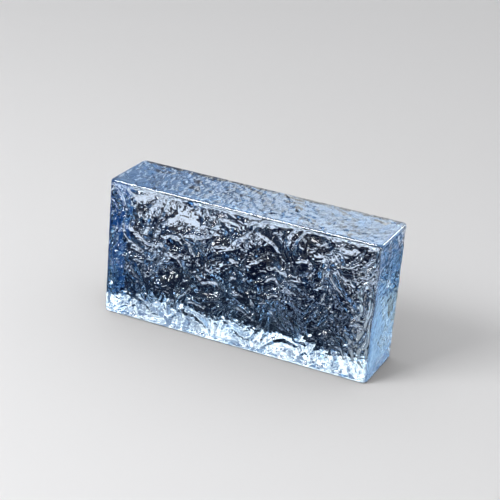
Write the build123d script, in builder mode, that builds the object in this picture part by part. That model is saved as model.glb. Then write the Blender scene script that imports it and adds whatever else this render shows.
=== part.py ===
"""Solid cast glass brick, standing on its long narrow bed face.

One piece of pressed glass. Its two large faces swell slowly and are pressed into wandering
ridges with broad hollows between them, like rippled ice. The four narrow faces, where mortar
or clear adhesive goes, are flat. Every edge is fire-rounded.

Frame: +X along the length, +Y through the thickness, +Z up. The origin is the middle of the
bed face that the brick stands on.
"""

import os
from math import cos, pi, radians, sin, sqrt

from build123d import *

# Outside size, mm
block_length = 200.0
block_thickness = 50.0
block_height = 100.0

# Rounding left by the mould and the fire polish, mm
corner_radius = 4.0  # the four upright corners
rim_radius = 2.5  # all round the two bed faces

# Relief of the two large faces, pressed in below a narrow flat border
relief_border = 0.5  # width of the border inside the rounded edges, mm
swell_depth = 1.2  # from the highest to the lowest place of the slow swell, mm
ridge_depth = 1.7  # from the crest of a ridge down to the hollows beside it, mm
ridge_slope = 1.0  # how soon a ridge falls to its hollows: more makes it thinner
bend_reach = 5.0  # how far the ridges bend from side to side, mm
facet_size = 4.0  # spacing of the corners of the small flat facets that carry the relief, mm
front_turn = 0.0  # added to every phase on the front face, degrees
back_turn = 115.0  # and on the back face

# Crossing trains of waves: pitch in mm, then the bearing from +X and the phase in degrees
swell_trains = ((57.0, 24.0, 40.0), (41.0, -38.0, 155.0), (29.0, 74.0, 260.0))
ridge_trains = (  # a ridge runs where these add up to nothing
    (24.0, 8.0, 0.0),
    (18.0, 52.0, 80.0),
    (26.0, 97.0, 200.0),
    (21.0, 141.0, 310.0),
    (16.5, -24.0, 120.0),
)
bend_along_trains = ((43.0, 70.0, 30.0), (31.0, -15.0, 170.0))
bend_up_trains = ((37.0, 12.0, 250.0), (47.0, 118.0, 90.0))

# The part of a large face that carries the relief
panel_reach = block_length / 2 - corner_radius - relief_border  # to each side of the middle
panel_bottom = rim_radius + relief_border
panel_top = block_height - panel_bottom


def waves(trains, along, up, turn):
    """Crossing trains of waves at a place on a large face, mostly between -1 and 1."""
    total = 0.0
    for pitch, bearing, phase in trains:
        run = along * cos(radians(bearing)) + up * sin(radians(bearing))
        total += sin(2 * pi * run / pitch + radians(phase + turn))
    return total / sqrt(len(trains))


def relief(along, up, turn):
    """How far a large face lies below its border at a place on it, mm."""
    highest = sqrt(len(swell_trains))
    swell = swell_depth * (1 - waves(swell_trains, along, up, turn) / highest) / 2
    bent_along = along + bend_reach * waves(bend_along_trains, along, up, turn)
    bent_up = up + bend_reach * waves(bend_up_trains, along, up, turn)
    hollow = min(abs(waves(ridge_trains, bent_along, bent_up, turn)) * ridge_slope, 1.0)
    return swell + ridge_depth * hollow


def spread(low, high):
    """Evenly spaced places from low to high, about facet_size apart."""
    steps = round((high - low) / facet_size)
    return [low + (high - low) * i / steps for i in range(steps + 1)]


def relief_panel(side, turn):
    """The facets of a large face and the outline round them. side is -1 in front, 1 at the back."""
    alongs = spread(-panel_reach, panel_reach)
    ups = spread(panel_bottom, panel_top)
    last_column, last_row = len(alongs) - 1, len(ups) - 1

    def corner(column, row):
        along, up = alongs[column], ups[row]
        on_outline = column in (0, last_column) or row in (0, last_row)
        depth = 0.0 if on_outline else relief(along, up, turn)
        return Vector(along, side * (block_thickness / 2 - depth), up)

    facets = []
    for row in range(last_row):
        for column in range(last_column):
            a, b = corner(column, row), corner(column + 1, row)
            d, c = corner(column, row + 1), corner(column + 1, row + 1)
            halves = ((a, b, c), (a, c, d)) if (row + column) % 2 else ((a, b, d), (b, c, d))
            facets += [Face(Wire.make_polygon(half)) for half in halves]

    outline = [corner(column, 0) for column in range(last_column)]
    outline += [corner(last_column, row) for row in range(last_row)]
    outline += [corner(column, last_row) for column in range(last_column, 0, -1)]
    outline += [corner(0, row) for row in range(last_row, 0, -1)]
    return facets, Wire.make_polygon(outline)


def build_block():
    """The brick: a rounded slab, with a relief panel set into each of its two large faces."""
    with BuildPart() as slab:
        with BuildSketch(Plane.XY):
            RectangleRounded(block_length, block_thickness, corner_radius)
        extrude(amount=block_height)
        fillet(slab.faces().filter_by(Axis.Z).edges(), rim_radius)

    large_faces = slab.faces().filter_by(Axis.Y).sort_by(Axis.Y)
    skin = list(slab.faces() - large_faces)
    for flat_face, side, turn in (
        (large_faces.first, -1, front_turn),
        (large_faces.last, 1, back_turn),
    ):
        facets, outline = relief_panel(side, turn)
        skin += [flat_face.make_holes([outline]), *facets]

    with BuildPart() as block:
        add(Solid(Shell(skin)))
    block.part.label = "glass_block"
    return block.part


glass_block = build_block()
os.makedirs("parts", exist_ok=True)
export_step(glass_block, "parts/glass_block.step")
print(f"glass_block {glass_block.volume / 1000:.1f} cm3, {glass_block.bounding_box()}")
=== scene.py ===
"""Solid cast glass block with rippled faces, on a pale studio floor. Lengths are in metres,
apart from the values that are marked as mm."""

from math import cos, log, pi, radians, sin, sqrt

import bpy
from bpy.props import FloatProperty, FloatVectorProperty, IntProperty, PointerProperty
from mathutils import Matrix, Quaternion, Vector


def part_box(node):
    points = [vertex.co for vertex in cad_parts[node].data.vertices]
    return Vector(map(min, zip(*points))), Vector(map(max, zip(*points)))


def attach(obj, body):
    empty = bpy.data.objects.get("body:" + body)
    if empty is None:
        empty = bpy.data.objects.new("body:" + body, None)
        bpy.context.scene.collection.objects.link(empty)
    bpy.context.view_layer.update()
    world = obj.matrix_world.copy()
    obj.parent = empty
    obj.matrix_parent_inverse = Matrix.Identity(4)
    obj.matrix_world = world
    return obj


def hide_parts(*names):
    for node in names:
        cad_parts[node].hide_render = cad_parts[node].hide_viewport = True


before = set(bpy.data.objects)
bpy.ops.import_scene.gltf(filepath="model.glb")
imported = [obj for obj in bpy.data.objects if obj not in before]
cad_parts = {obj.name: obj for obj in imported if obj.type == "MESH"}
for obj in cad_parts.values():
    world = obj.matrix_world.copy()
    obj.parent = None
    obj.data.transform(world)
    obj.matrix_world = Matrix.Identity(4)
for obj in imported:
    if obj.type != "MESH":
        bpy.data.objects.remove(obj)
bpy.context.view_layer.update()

bl_info = {
    "name": "Rippled Glass Block",
    "version": (1, 0, 0),
    "blender": (4, 5, 0),
    "location": "3D View > Sidebar > Glass Block",
    "description": "Adds a solid cast glass block with rippled faces, and a studio stage for it",
    "category": "Object",
}

low_corner, high_corner = (Vector(corner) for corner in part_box("glass_block"))
block_size = high_corner - low_corner
block_middle = (high_corner + low_corner) / 2

MM = 0.001
tiny = 1e-9  # keeps a division off nought

# The ridges and the swell of the two large faces, by the same formula as in the CAD solid
# Crossing trains of waves: pitch in mm, then the bearing from +X and the phase in degrees
swell_trains = ((57.0, 24.0, 40.0), (41.0, -38.0, 155.0), (29.0, 74.0, 260.0))
ridge_trains = (  # a ridge runs where these add up to nothing
    (24.0, 8.0, 0.0),
    (18.0, 52.0, 80.0),
    (26.0, 97.0, 200.0),
    (21.0, 141.0, 310.0),
    (16.5, -24.0, 120.0),
)
bend_along_trains = ((43.0, 70.0, 30.0), (31.0, -15.0, 170.0))
bend_up_trains = ((37.0, 12.0, 250.0), (47.0, 118.0, 90.0))
back_turn = 115.0  # added to every phase on the back face, degrees

# The noise that makes the creases
swirl_detail = 2.0  # fineness of the noise that drags the creases about
lump_detail = 1.0  # fineness of the noise that has a crease wherever it is at its middle value
curl_size = 2.0  # size of the small curls, in creases
curl_reach = 0.5  # how far the small curls drag the creases, in creases

# Glass
glass_index = 1.52
least_light = 1e-4  # a channel of the tint counts as no darker than this
density_margin = 1.25  # times the strongest loss, so that no channel of the volume is black

# Floor, mm
floor_reach = 6000.0  # from the middle to each side
floor_gap = 0.05  # between the block and the floor, so that the two don't share a plane

# Cards on the floor, mm: lowest and highest X, then lowest and highest Y
card_step = 0.01  # each layer of cards lies this far above the one below it
# Painted light: a pale glowing card that gloss and glass see beyond the dark cards
painted_pale_place = (-1500.0, 1500.0, 100.0, 1800.0)
# Painted shade in front of the block: a dark card that only gloss and glass see
front_painted_shade_place = (-400.0, 150.0, -400.0, -20.0)
# Painted light under the block, in place of light that falls through the glass
painted_below_place = (-97.0, 97.0, -22.0, 22.0)
# Painted light on the floor by the right end
painted_beside_place = (105.0, 160.0, -60.0, 135.0)
# Painted highlight: a bright card for the front right corner to catch
painted_corner_place = (130.0, 330.0, -130.0, -50.0)
# Painted light: a thin glowing line behind the block
painted_slit_place = (0.0, 100.0, 70.0, 74.0)
# Painted shade behind the block: a dark card that only gloss and glass see
back_painted_shade_outline = (
    (-300.0, -20.0),
    (90.0, -20.0),
    (60.0, 120.0),
    (200.0, 120.0),
    (200.0, 240.0),
    (40.0, 340.0),
    (-200.0, 180.0),
)

# Lamps round the block: the bearing from -Y towards +X and the elevation in degrees, then the
# distance, the width and the height in metres, and the setting that gives the brightness
lamps = {
    "key": (-35.0, 38.0, 1.6, 0.8, 0.6, "key_light"),
    "back": (171.0, 25.0, 2.0, 2.4, 1.1, "back_light"),
    "back_left": (214.0, 25.0, 2.0, 0.9, 1.1, "left_light"),
    "end_box": (155.0, 21.0, 1.5, 0.3, 0.3, "end_light"),
    "left_spark": (-40.0, 8.0, 1.5, 0.4, 0.25, "spark_light"),
    "right_spark": (68.0, 10.0, 1.5, 0.4, 0.25, "spark_light"),
    "edge_strip": (-74.54, 67.88, 1.295, 0.9, 0.6, "edge_light"),
}
screens = ("back", "back_left")  # the lamps that have the colour of the screens

# The lamp that shows through the left end, mm
blue_lamp_place = (-82.0, 80.0, 55.0)
blue_lamp_width = 100.0
blue_lamp_height = 110.0

camera_aim = (-3.4, 3.81, 61.1)  # the point that the camera looks at, mm

# Light paths
most_bounces = 24  # in glass and gloss
brightest_bounce = 3.0  # light that has bounced is held below this, against stray bright dots


def length(name, description, mm):
    """A property that holds a length."""
    return FloatProperty(
        name=name, description=description, default=mm * MM, unit="LENGTH", precision=5
    )


def amount(name, description, value, high):
    """A property that holds a plain number, with a slider up to high."""
    return FloatProperty(
        name=name, description=description, default=value, min=0.0, soft_max=high
    )


def fraction(name, description, value):
    """A property that holds a share, from 0 to 1."""
    return FloatProperty(
        name=name, description=description, default=value, min=0.0, max=1.0, subtype="FACTOR"
    )


def angle(name, description, degrees):
    """A property that holds an angle."""
    return FloatProperty(
        name=name, description=description, default=radians(degrees), unit="ROTATION"
    )


def colour(name, description, value):
    """A property that holds a colour."""
    return FloatVectorProperty(
        name=name, description=description, default=value, subtype="COLOR", min=0.0, max=1.0
    )


class BlockSettings(bpy.types.PropertyGroup):
    """Sizes and colour of the glass block."""

    mesh_step: length("Mesh Step", "Spacing of the mesh along the block and up it", 0.76)
    across_step: length("Across Step", "Spacing of the mesh through the thickness", 1.4)
    corner_radius: length("Corner Radius", "Rounding of the four upright corners", 4.0)
    rim_radius: length("Rim Radius", "Rounding all round the two bed faces", 2.5)
    swell_depth: length("Swell Depth", "Depth of the slow swell of the large faces", 1.2)
    ridge_depth: length("Ridge Depth", "From a ridge of a large face to the hollows", 1.7)
    ridge_slope: amount("Ridge Slope", "How soon a ridge falls to its hollows", 1.0, 3.0)
    bend_reach: length("Bend Reach", "How far the ridges bend from side to side", 5.0)
    swirl_size: length("Swirl Size", "Size of the swirls that bend the creases", 15.0)
    swirl_reach: length("Swirl Reach", "How far the swirls drag the creases", 9.0)
    narrow_size: length("Narrow Size", "Spacing of the ridges on the narrow faces", 10.0)
    narrow_depth: length("Narrow Depth", "Depth of the ridges on the narrow faces", 0.35)
    crease_size: length("Crease Size", "Spacing of the small creases", 2.7)
    crease_depth: length("Crease Depth", "Depth between the small creases", 0.64)
    crease_slope: amount("Crease Slope", "How soon creases and narrow ridges fall away", 3.0, 6.0)
    narrow_creases: fraction("Narrow Creases", "Share of the creases on the narrow faces", 0.8)
    left_share: fraction("Left Share", "Share of the ripple that the left end has", 0.5)
    edge_strip: length("Edge Strip", "Width of the even strip along an edge", 0.6)
    edge_fade: length("Edge Fade", "Where the ripple has reached its depth, from an edge", 4.5)
    edge_share: fraction("Edge Share", "Share of the ripple that is left on an edge", 0.02)
    seed: IntProperty(name="Seed", description="Picks the creases and narrow ridges", default=3)
    tint: colour("Tint", "Colour of light that has crossed Tint Depth of glass", (0.77, 0.905, 1.0))
    tint_depth: length("Tint Depth", "Thickness of glass that gives the tint", 53.0)
    polish: fraction("Polish", "Roughness that the fire polish leaves", 0.012)


class StageSettings(bpy.types.PropertyGroup):
    """Floor, light and camera."""

    floor_colour: colour("Floor", "Colour of the floor", (0.8, 0.8, 0.81))
    backdrop_colour: colour("Backdrop", "Colour behind the floor", (0.8, 0.81, 0.84))
    # Painted reflection: a dark surround that only gloss and glass see, not the pale backdrop
    painted_surround_colour: colour("Wall", "Wall that gloss and glass see round them", (0.15, 0.18, 0.28))
    # Painted shade: the colour of the dark cards that only gloss and glass see
    painted_shade_colour: colour("Flag", "Dark cards in front and behind", (0.002, 0.003, 0.014))
    # Painted light: the glow of a pale card that only gloss and glass see
    painted_pale_light: colour("Pale Card", "Light of the card behind the dark one", (0.93, 0.92, 1.0))
    # Painted light: a glowing card under the block, in place of light through the glass
    painted_light_below: colour("Glow Below", "Light that falls through onto the floor", (0.25, 0.31, 0.44))
    # Painted light: a thin glowing line that only gloss and glass see
    painted_slit_light: colour("Slit", "Thin line of light behind the block", (0.6, 0.72, 1.0))
    # Painted light: a glowing card on the floor by the right end
    painted_side_light: colour("Glow Beside", "Light on the floor by the right end", (0.75, 0.96, 1.0))
    # Painted highlight: the glow of a card that the front right corner catches
    painted_corner_light: amount("Glow For Corner", "Light that the front right corner catches", 5.0, 10.0)
    blue_light: colour("Blue Light", "Lamp that shows through the left end", (0.01, 0.06, 0.2))
    fill_strength: amount("Fill", "Light from all round", 0.62, 2.0)
    key_light: amount("Key Light", "Brightness of the key softbox", 10.0, 50.0)
    back_light: amount("Back Light", "Brightness of the screen behind", 1.85, 5.0)
    screen_colour: colour("Screen", "Colour of the screens behind", (1.0, 1.0, 0.92))
    left_light: amount("Left Light", "Brightness of the screen behind on the left", 0.25, 5.0)
    spark_light: amount("Spark Light", "Brightness of the small boxes for sparkle", 22.0, 50.0)
    edge_light: amount("Edge Light", "Brightness of the strip for the long edge", 30.0, 50.0)
    end_light: amount("End Light", "Brightness of the box for the short edge", 12.0, 50.0)
    azimuth: angle("Azimuth", "Camera's bearing from -Y", 23.27)
    elevation: angle("Elevation", "Camera above the level", 23.24)
    roll: angle("Roll", "Camera turned on its axis", 4.88)
    distance: length("Distance", "From the camera to the aim", 1008.6)
    focal_length: FloatProperty(
        name="Focal Length", description="Lens of the camera", default=105.77, unit="CAMERA"
    )


# Formulas written as node trees


class Term:
    """A socket of a node tree, with the arithmetic that formulas are written in."""

    def __init__(self, tree, socket):
        self.tree = tree
        self.socket = socket

    def maths(self, operation, *others):
        """What a Math node gives for this term and the others."""
        node = self.tree.nodes.new("ShaderNodeMath")
        node.operation = operation
        for place, item in enumerate((self, *others)):
            feed(self.tree, item, node.inputs[place])
        return Term(self.tree, node.outputs[0])

    def __add__(self, other):
        return self.maths("ADD", other)

    def __sub__(self, other):
        return self.maths("SUBTRACT", other)

    def __rsub__(self, other):
        return -self + other

    def __mul__(self, other):
        return self.maths("MULTIPLY", other)

    def __truediv__(self, other):
        return self.maths("DIVIDE", other)

    def __neg__(self):
        return self.maths("MULTIPLY", -1.0)

    def __abs__(self):
        return self.maths("ABSOLUTE")

    def sign(self):
        return self.maths("SIGN")

    def sine(self):
        return self.maths("SINE")

    def root(self):
        return self.maths("SQRT")

    def at_least(self, other):
        return self.maths("MAXIMUM", other)

    def at_most(self, other):
        return self.maths("MINIMUM", other)

    def above(self, other):
        """1 where this term is above the other, 0 elsewhere."""
        return self.maths("GREATER_THAN", other)

    def between(self, low, high):
        """0 up to low, 1 from high, and a smooth rise between them."""
        node = self.tree.nodes.new("ShaderNodeMapRange")
        node.interpolation_type = "SMOOTHSTEP"
        feed(self.tree, self, node.inputs["Value"])
        feed(self.tree, low, node.inputs["From Min"])
        feed(self.tree, high, node.inputs["From Max"])
        return Term(self.tree, node.outputs["Result"])

    def parts(self):
        """The three terms of a vector."""
        node = self.tree.nodes.new("ShaderNodeSeparateXYZ")
        feed(self.tree, self, node.inputs[0])
        return [Term(self.tree, output) for output in node.outputs]


def feed(tree, item, socket):
    """Puts a term, a number or a vector into an input."""
    if isinstance(item, Term):
        tree.links.new(item.socket, socket)
    else:
        socket.default_value = item


def field(tree, name):
    """The position or the normal of each point of the mesh."""
    return Term(tree, tree.nodes.new("GeometryNodeInput" + name).outputs[0])


def vector(tree, x, y, z):
    """A vector made of three terms or numbers."""
    node = tree.nodes.new("ShaderNodeCombineXYZ")
    for place, item in enumerate((x, y, z)):
        feed(tree, item, node.inputs[place])
    return Term(tree, node.outputs[0])


def vector_maths(tree, operation, first, second):
    """A sum, difference or scaling of vectors."""
    node = tree.nodes.new("ShaderNodeVectorMath")
    node.operation = operation
    feed(tree, first, node.inputs[0])
    feed(tree, second, node.inputs["Scale" if operation == "SCALE" else 1])
    return Term(tree, node.outputs[0])


def per(size):
    """How often a pattern of that size repeats in a metre."""
    return size.maths("POWER", -1.0)


def noise(tree, place, size, detail, output):
    """Noise with lumps of that size, read at a place."""
    node = tree.nodes.new("ShaderNodeTexNoise")
    feed(tree, place, node.inputs["Vector"])
    feed(tree, per(size), node.inputs["Scale"])
    feed(tree, detail, node.inputs["Detail"])
    return Term(tree, node.outputs[output])


socket_kinds = {"FLOAT": "NodeSocketFloat", "INT": "NodeSocketInt"}


def numbers(settings):
    """The plain numbers of a settings group: the identifier and the property of each."""
    return [
        (name, prop)
        for name, prop in settings.bl_rna.properties.items()
        if prop.type in socket_kinds and not prop.is_array
    ]


def add_inputs(tree, settings):
    """A named input of the tree for each number of a settings group, and the terms they give."""
    inside = tree.nodes.new("NodeGroupInput")
    for name, prop in numbers(settings):
        kind = socket_kinds[prop.type]
        socket = tree.interface.new_socket(prop.name, in_out="INPUT", socket_type=kind)
        socket.default_value = getattr(settings, name)
    return {name: Term(tree, inside.outputs[prop.name]) for name, prop in numbers(settings)}


def set_inputs(modifier, tree, settings):
    """Hands a settings group's numbers to the inputs of the same name."""
    values = {prop.name: getattr(settings, name) for name, prop in numbers(settings)}
    for item in tree.interface.items_tree:
        if item.item_type == "SOCKET" and item.in_out == "INPUT":
            modifier[item.identifier] = values[item.name]


# The block


def rounded(tree, size):
    """Where a point of the box goes when the upright corners and the rims are rounded."""
    x, y, z = field(tree, "Position").parts()
    corner = size["corner_radius"]
    rim = size["rim_radius"]
    flat_x = block_size.x / 2 - corner
    flat_y = block_size.y / 2 - corner
    flat_z = block_size.z / 2 - rim

    # How far the point is out from the flat middle of the plan, square-wise and as the crow flies
    out_x = (abs(x) - flat_x).at_least(0.0)
    out_y = (abs(y) - flat_y).at_least(0.0)
    out_z = (abs(z) - flat_z).at_least(0.0)
    out = out_x.at_least(out_y)
    reach = (out_x * out_x + out_y * out_y).root().at_least(tiny)

    # The same again for the rim, in the upright plane through the point
    past_flat = (out - (corner - rim)).at_least(0.0)
    rim_reach = (past_flat * past_flat + out_z * out_z).root().at_least(tiny)
    pull = past_flat.at_least(out_z) / rim_reach
    new_out = out.at_most(corner - rim) + past_flat * pull
    plan_pull = new_out / reach
    return vector(
        tree,
        x.sign() * (abs(x).at_most(flat_x) + out_x * plan_pull),
        y.sign() * (abs(y).at_most(flat_y) + out_y * plan_pull),
        z.sign() * (abs(z).at_most(flat_z) + out_z * pull),
    )


def waves(trains, along, up, turn):
    """Crossing trains of waves at a place on a large face, mostly between -1 and 1."""
    total = None
    for pitch, bearing, phase in trains:
        run = along * cos(radians(bearing)) + up * sin(radians(bearing))
        wave = (run * (2 * pi / (pitch * MM)) + (turn + radians(phase))).sine()
        total = wave if total is None else total + wave
    return total * (1 / sqrt(len(trains)))


def large_relief(tree, size):
    """How far the two large faces lie below their borders."""
    x, y, z = field(tree, "Position").parts()
    up = z + block_size.z / 2
    turn = y.above(0.0) * radians(back_turn)
    highest = sqrt(len(swell_trains))
    swell = (1.0 - waves(swell_trains, x, up, turn) * (1 / highest)) * size["swell_depth"] * 0.5
    bent_x = x + waves(bend_along_trains, x, up, turn) * size["bend_reach"]
    bent_up = up + waves(bend_up_trains, x, up, turn) * size["bend_reach"]
    hollow = (abs(waves(ridge_trains, bent_x, bent_up, turn)) * size["ridge_slope"]).at_most(1.0)
    return swell + hollow * size["ridge_depth"]


def swirled(tree, place, size, reach):
    """A place dragged about by swirls of that size, by up to that reach."""
    swirl = noise(tree, place, size, swirl_detail, "Color")
    drag = vector_maths(tree, "SUBTRACT", swirl, (0.5, 0.5, 0.5))  # from -0.5 to 0.5 each way
    return vector_maths(tree, "ADD", place, vector_maths(tree, "SCALE", drag, reach * 2.0))


def creases(tree, place, size, slope):
    """0 on thin wandering creases, and 1 in the hollows between them."""
    lumps = noise(tree, place, size, lump_detail, "Fac")
    return (abs(lumps * 2.0 - 1.0) * slope).at_most(1.0)


def ripple(tree, size):
    """How far the face is pressed in at a point, before the edges hold it back."""
    shift = vector(tree, size["seed"], 0.0, 0.0)
    place = vector_maths(tree, "ADD", field(tree, "Position"), shift)
    normal_x, normal_y, _ = field(tree, "Normal").parts()
    on_large = abs(normal_y)
    on_left = (-normal_x).at_least(0.0)

    bent = swirled(tree, place, size["swirl_size"], size["swirl_reach"])
    narrow = creases(tree, bent, size["narrow_size"], size["crease_slope"]) * size["narrow_depth"]
    big = large_relief(tree, size) * on_large + narrow * (1.0 - on_large)

    crease = size["crease_size"]
    curled = swirled(tree, bent, crease * curl_size, crease * curl_reach)
    small = creases(tree, curled, crease, size["crease_slope"]) * size["crease_depth"]
    small = small * (on_large * (1.0 - size["narrow_creases"]) + size["narrow_creases"])
    return (big + small) * (on_left * (size["left_share"] - 1.0) + 1.0)


def held_back(tree, size):
    """Share of the ripple that is left near an edge."""
    x, y, z = field(tree, "Position").parts()
    from_x = block_size.x / 2 - abs(x)
    from_y = block_size.y / 2 - abs(y)
    from_z = block_size.z / 2 - abs(z)

    # The least of the three is about nought, because the point is on a face. The middle one is
    # how far the nearest edge is
    from_edge = from_x.at_most(from_y).at_least(from_x.at_least(from_y).at_most(from_z))
    growth = from_edge.between(size["edge_strip"], size["edge_fade"])
    return growth * (1.0 - size["edge_share"]) + size["edge_share"]


def move(tree, shape, position=None, offset=None):
    """Moves the points of a shape to a position or by an offset."""
    node = tree.nodes.new("GeometryNodeSetPosition")
    tree.links.new(shape, node.inputs["Geometry"])
    if position is not None:
        feed(tree, position, node.inputs["Position"])
    if offset is not None:
        feed(tree, offset, node.inputs["Offset"])
    return node.outputs["Geometry"]


def block_tree(settings, glass):
    """The Geometry Nodes tree that makes the block about the origin and moves it to its place."""
    tree = bpy.data.node_groups.new("Rippled Block", "GeometryNodeTree")
    size = add_inputs(tree, settings)
    tree.interface.new_socket("Geometry", in_out="OUTPUT", socket_type="NodeSocketGeometry")

    box = tree.nodes.new("GeometryNodeMeshCube")
    box.inputs["Size"].default_value = block_size
    steps = (size["mesh_step"], size["across_step"], size["mesh_step"])  # along X, Y and Z
    for axis, extent, step in zip("XYZ", block_size, steps):
        feed(tree, per(step) * extent + 1.0, box.inputs["Vertices " + axis])
    shape = move(tree, box.outputs["Mesh"], position=rounded(tree, size))
    depth = -(ripple(tree, size) * held_back(tree, size))
    pressed = vector_maths(tree, "SCALE", field(tree, "Normal"), depth)
    shape = move(tree, shape, offset=pressed)
    shape = move(tree, shape, offset=block_middle)

    smooth = tree.nodes.new("GeometryNodeSetShadeSmooth")
    real = tree.nodes.new("GeometryNodeRealizeInstances")
    dress = tree.nodes.new("GeometryNodeSetMaterial")
    dress.inputs["Material"].default_value = glass
    out = tree.nodes.new("NodeGroupOutput")
    tree.links.new(shape, smooth.inputs["Geometry"])
    tree.links.new(smooth.outputs["Geometry"], real.inputs["Geometry"])
    tree.links.new(real.outputs["Geometry"], dress.inputs["Geometry"])
    tree.links.new(dress.outputs["Geometry"], out.inputs["Geometry"])
    return tree


def glass_material(settings):
    """Clear blue cast glass with a fire polish. The volume takes more red than blue."""
    material = bpy.data.materials.new("blue_glass")
    material.use_nodes = True
    tree = material.node_tree
    surface = tree.nodes["Principled BSDF"]
    surface.inputs["Base Color"].default_value = (1.0, 1.0, 1.0, 1.0)
    surface.inputs["Roughness"].default_value = settings.polish
    surface.inputs["Transmission Weight"].default_value = 1.0
    surface.inputs["IOR"].default_value = glass_index

    absorption = tree.nodes.new("ShaderNodeVolumeAbsorption")
    loss = [-log(max(share, least_light)) / settings.tint_depth for share in settings.tint]
    density = max(loss) * density_margin
    absorption.inputs["Density"].default_value = density
    absorption.inputs["Color"].default_value = (*(1 - part / density for part in loss), 1.0)
    tree.links.new(absorption.outputs["Volume"], tree.nodes["Material Output"].inputs["Volume"])
    return material


class OBJECT_OT_glass_block(bpy.types.Operator):
    """Add the glass block in the place of its CAD solid"""

    bl_idname = "object.glass_block_add"
    bl_label = "Glass Block"

    def execute(self, context):
        settings = context.scene.glass_block
        tree = block_tree(settings, glass_material(settings))
        maker = bpy.data.objects.new("maker", bpy.data.meshes.new("maker"))
        context.collection.objects.link(maker)
        modifier = maker.modifiers.new("Rippled Block", "NODES")
        modifier.node_group = tree
        set_inputs(modifier, tree, settings)
        context.view_layer.update()
        evaluated = maker.evaluated_get(context.evaluated_depsgraph_get())
        mesh = bpy.data.meshes.new_from_object(evaluated)
        mesh.name = "rippled_block"
        bpy.data.objects.remove(maker)

        block = bpy.data.objects.new("rippled_block", mesh)
        context.collection.objects.link(block)
        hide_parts("glass_block")
        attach(block, "root")
        return {"FINISHED"}


# The stage


def matt_paint(name, shade, glow=(0.0, 0.0, 0.0)):
    """A matt paint of one colour, which may glow."""
    material = bpy.data.materials.new(name)
    material.use_nodes = True
    surface = material.node_tree.nodes["Principled BSDF"]
    surface.inputs["Base Color"].default_value = (*shade, 1.0)
    surface.inputs["Roughness"].default_value = 1.0
    surface.inputs["Specular IOR Level"].default_value = 0.0
    surface.inputs["Emission Color"].default_value = (*glow, 1.0)
    surface.inputs["Emission Strength"].default_value = 1.0
    return material


def glowing(name, glow):
    """A black paint that glows."""
    return matt_paint(name, (0.0, 0.0, 0.0), glow)


def oblong(low_x, high_x, low_y, high_y):
    """The outline of an oblong."""
    return (low_x, low_y), (high_x, low_y), (high_x, high_y), (low_x, high_y)


def lay_sheet(context, outline, height, paint):
    """A level sheet of the stage, from its outline and height in mm."""
    corners = [Vector((x, y, height)) * MM for x, y in outline]
    mesh = bpy.data.meshes.new(paint.name)
    mesh.from_pydata(corners, [], [range(len(corners))])
    mesh.materials.append(paint)
    sheet = bpy.data.objects.new(paint.name, mesh)
    context.collection.objects.link(sheet)
    return sheet


def make_floor(context, settings):
    """A wide level floor, a hair below the block."""
    outline = oblong(-floor_reach, floor_reach, -floor_reach, floor_reach)
    lay_sheet(context, outline, -floor_gap, matt_paint("floor", settings.floor_colour))


def make_cards(context, settings):
    """Cards on the floor that only gloss and glass see, all of them painted light or shade. The
    dark ones are painted shade, the pale one is painted light beyond them, and the glowing ones are
    painted light that stands in for light that the block throws."""
    # Painted shade: the near-black paint of the dark cards
    painted_shade = matt_paint("painted_shade", settings.painted_shade_colour)
    layers = (
        # Painted light: the pale glowing card
        ((oblong(*painted_pale_place), glowing("painted_pale_card", settings.painted_pale_light)),),
        ((back_painted_shade_outline, painted_shade), (oblong(*front_painted_shade_place), painted_shade)),
        (
            # Painted light: glowing cards in place of light that the block throws
            (oblong(*painted_below_place), glowing("painted_glow_below", settings.painted_light_below)),
            (oblong(*painted_beside_place), glowing("painted_glow_beside", settings.painted_side_light)),
            # Painted highlight for the front right corner
            (oblong(*painted_corner_place), glowing("painted_glow_for_corner", (settings.painted_corner_light,) * 3)),
        ),
        # Painted light: the thin glowing line
        ((oblong(*painted_slit_place), glowing("slit", settings.painted_slit_light)),),
    )
    for layer, cards in enumerate(layers, start=1):
        for outline, paint in cards:
            card = lay_sheet(context, outline, layer * card_step, paint)
            card.visible_camera = False
            card.visible_diffuse = False
            card.visible_shadow = False


def mixed(tree, share, first, second):
    """A blend of two colours."""
    node = tree.nodes.new("ShaderNodeMix")
    node.data_type = "RGBA"
    feed(tree, share, node.inputs["Factor"])
    for name, item in (("A", first), ("B", second)):
        socket = next(s for s in node.inputs if s.name == name and s.type == "RGBA")
        feed(tree, item if isinstance(item, Term) else (*item, 1.0), socket)
    output = next(s for s in node.outputs if s.type == "RGBA")
    return Term(tree, output)


def make_world(context, settings):
    """A pale backdrop for the camera, a painted dark surround for gloss and glass, and fill light
    for the rest.
    """
    world = bpy.data.worlds.new("studio")
    context.scene.world = world
    world.use_nodes = True
    tree = world.node_tree
    path = tree.nodes.new("ShaderNodeLightPath")
    in_gloss = Term(tree, path.outputs["Is Glossy Ray"])
    in_glass = Term(tree, path.outputs["Is Transmission Ray"])
    in_camera = Term(tree, path.outputs["Is Camera Ray"])
    # Gloss and glass see a painted dark surround in place of the pale backdrop
    shade = mixed(
        tree, in_gloss.at_least(in_glass), (settings.fill_strength,) * 3, settings.painted_surround_colour
    )
    shade = mixed(tree, in_camera, shade, settings.backdrop_colour)
    feed(tree, shade, tree.nodes["Background"].inputs["Color"])


def aimed(place, aim):
    """The turn that points an object's -Z at an aim, with its Y up."""
    return (aim - place).to_track_quat("-Z", "Y")


def around(bearing, elevation, distance):
    """A place round the block, from its bearing from -Y towards +X and its elevation in degrees."""
    level = distance * cos(radians(elevation))
    return block_middle + Vector(
        (
            level * sin(radians(bearing)),
            -level * cos(radians(bearing)),
            distance * sin(radians(elevation)),
        )
    )


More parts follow.
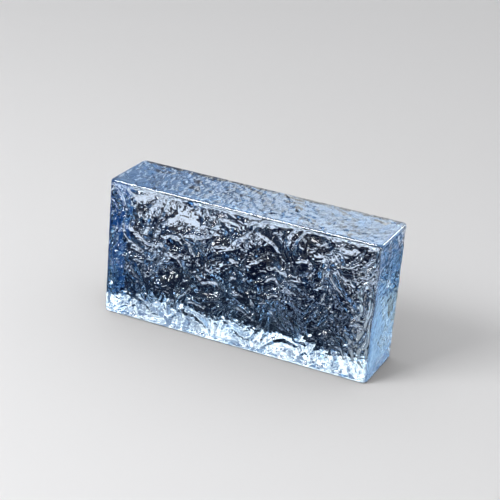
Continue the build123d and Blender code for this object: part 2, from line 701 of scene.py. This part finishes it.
def softbox(context, name, place, aim, width, height, brightness):
    """An area light, as bright to look at from its front as a surface of that brightness."""
    lamp = bpy.data.lights.new(name, "AREA")
    lamp.shape = "RECTANGLE"
    lamp.size = width
    lamp.size_y = height
    lamp.energy = brightness * pi * width * height
    box = bpy.data.objects.new(name, lamp)
    box.location = place
    box.rotation_mode = "QUATERNION"
    box.rotation_quaternion = aimed(place, aim)
    box.visible_camera = False
    context.collection.objects.link(box)
    return box


def make_lamps(context, settings):
    """The key softbox, which lights everything, and the lamps that only gloss and glass show."""
    for name, (bearing, elevation, distance, width, height, setting) in lamps.items():
        place = around(bearing, elevation, distance)
        brightness = getattr(settings, setting)
        box = softbox(context, name, place, block_middle, width, height, brightness)
        box.visible_diffuse = name == "key"
        if name in screens:
            box.data.color = settings.screen_colour


def make_blue_lamp(context, settings):
    """A dim lamp behind the left end, which faces left. Only light that has turned back off the
    left end meets its front, so it colours that end and little else."""
    place = Vector(blue_lamp_place) * MM
    left = Vector((-1.0, 0.0, 0.0))
    width = blue_lamp_width * MM
    height = blue_lamp_height * MM
    box = softbox(context, "blue_lamp", place, place + left, width, height, brightness=1.0)
    box.visible_diffuse = False
    box.data.color = settings.blue_light


def make_camera(context, settings):
    """The camera, at the photograph's viewing angle."""
    aim = Vector(camera_aim) * MM
    heading = Quaternion((0, 0, 1), settings.azimuth) @ Quaternion((1, 0, 0), -settings.elevation)
    back = heading @ Vector((0, -1, 0))
    data = bpy.data.cameras.new("camera")
    data.lens = settings.focal_length
    camera = bpy.data.objects.new("camera", data)
    camera.location = aim + back * settings.distance
    camera.rotation_mode = "QUATERNION"
    camera.rotation_quaternion = aimed(camera.location, aim) @ Quaternion((0, 0, 1), settings.roll)
    context.collection.objects.link(camera)
    context.scene.camera = camera


class SCENE_OT_glass_block_stage(bpy.types.Operator):
    """Add the floor, the light and the camera"""

    bl_idname = "scene.glass_block_stage"
    bl_label = "Studio Stage"

    def execute(self, context):
        settings = context.scene.glass_block_stage
        make_floor(context, settings)
        make_world(context, settings)
        make_cards(context, settings)
        make_lamps(context, settings)
        make_blue_lamp(context, settings)
        make_camera(context, settings)
        return {"FINISHED"}


# The add-on


class VIEW3D_PT_glass_block(bpy.types.Panel):
    """Sizes of the block and its stage, and the buttons that add them."""

    bl_label = "Glass Block"
    bl_space_type = "VIEW_3D"
    bl_region_type = "UI"
    bl_category = "Glass Block"

    def draw(self, context):
        for group in (context.scene.glass_block, context.scene.glass_block_stage):
            for name in group.__annotations__:
                self.layout.prop(group, name)
        self.layout.operator(OBJECT_OT_glass_block.bl_idname)
        self.layout.operator(SCENE_OT_glass_block_stage.bl_idname)


classes = (
    BlockSettings,
    StageSettings,
    OBJECT_OT_glass_block,
    SCENE_OT_glass_block_stage,
    VIEW3D_PT_glass_block,
)


def register():
    """Adds the classes, and the settings of the block and the stage to every scene."""
    for cls in classes:
        bpy.utils.register_class(cls)
    bpy.types.Scene.glass_block = PointerProperty(type=BlockSettings)
    bpy.types.Scene.glass_block_stage = PointerProperty(type=StageSettings)


def unregister():
    """Takes away what register adds."""
    del bpy.types.Scene.glass_block_stage
    del bpy.types.Scene.glass_block
    for cls in reversed(classes):
        bpy.utils.unregister_class(cls)


def set_light_paths(scene):
    """Enough bounces for light that goes round inside the block, and no caustics on the floor."""
    scene.cycles.max_bounces = most_bounces
    scene.cycles.transmission_bounces = most_bounces
    scene.cycles.glossy_bounces = most_bounces
    scene.cycles.sample_clamp_indirect = brightest_bounce
    scene.cycles.caustics_refractive = False
    scene.cycles.caustics_reflective = False


def main():
    """Makes the block and its stage."""
    register()
    scene = bpy.context.scene
    scene.view_settings.view_transform = "Standard"
    set_light_paths(scene)
    bpy.ops.object.glass_block_add()
    bpy.ops.scene.glass_block_stage()


if __name__ == "__main__":
    main()
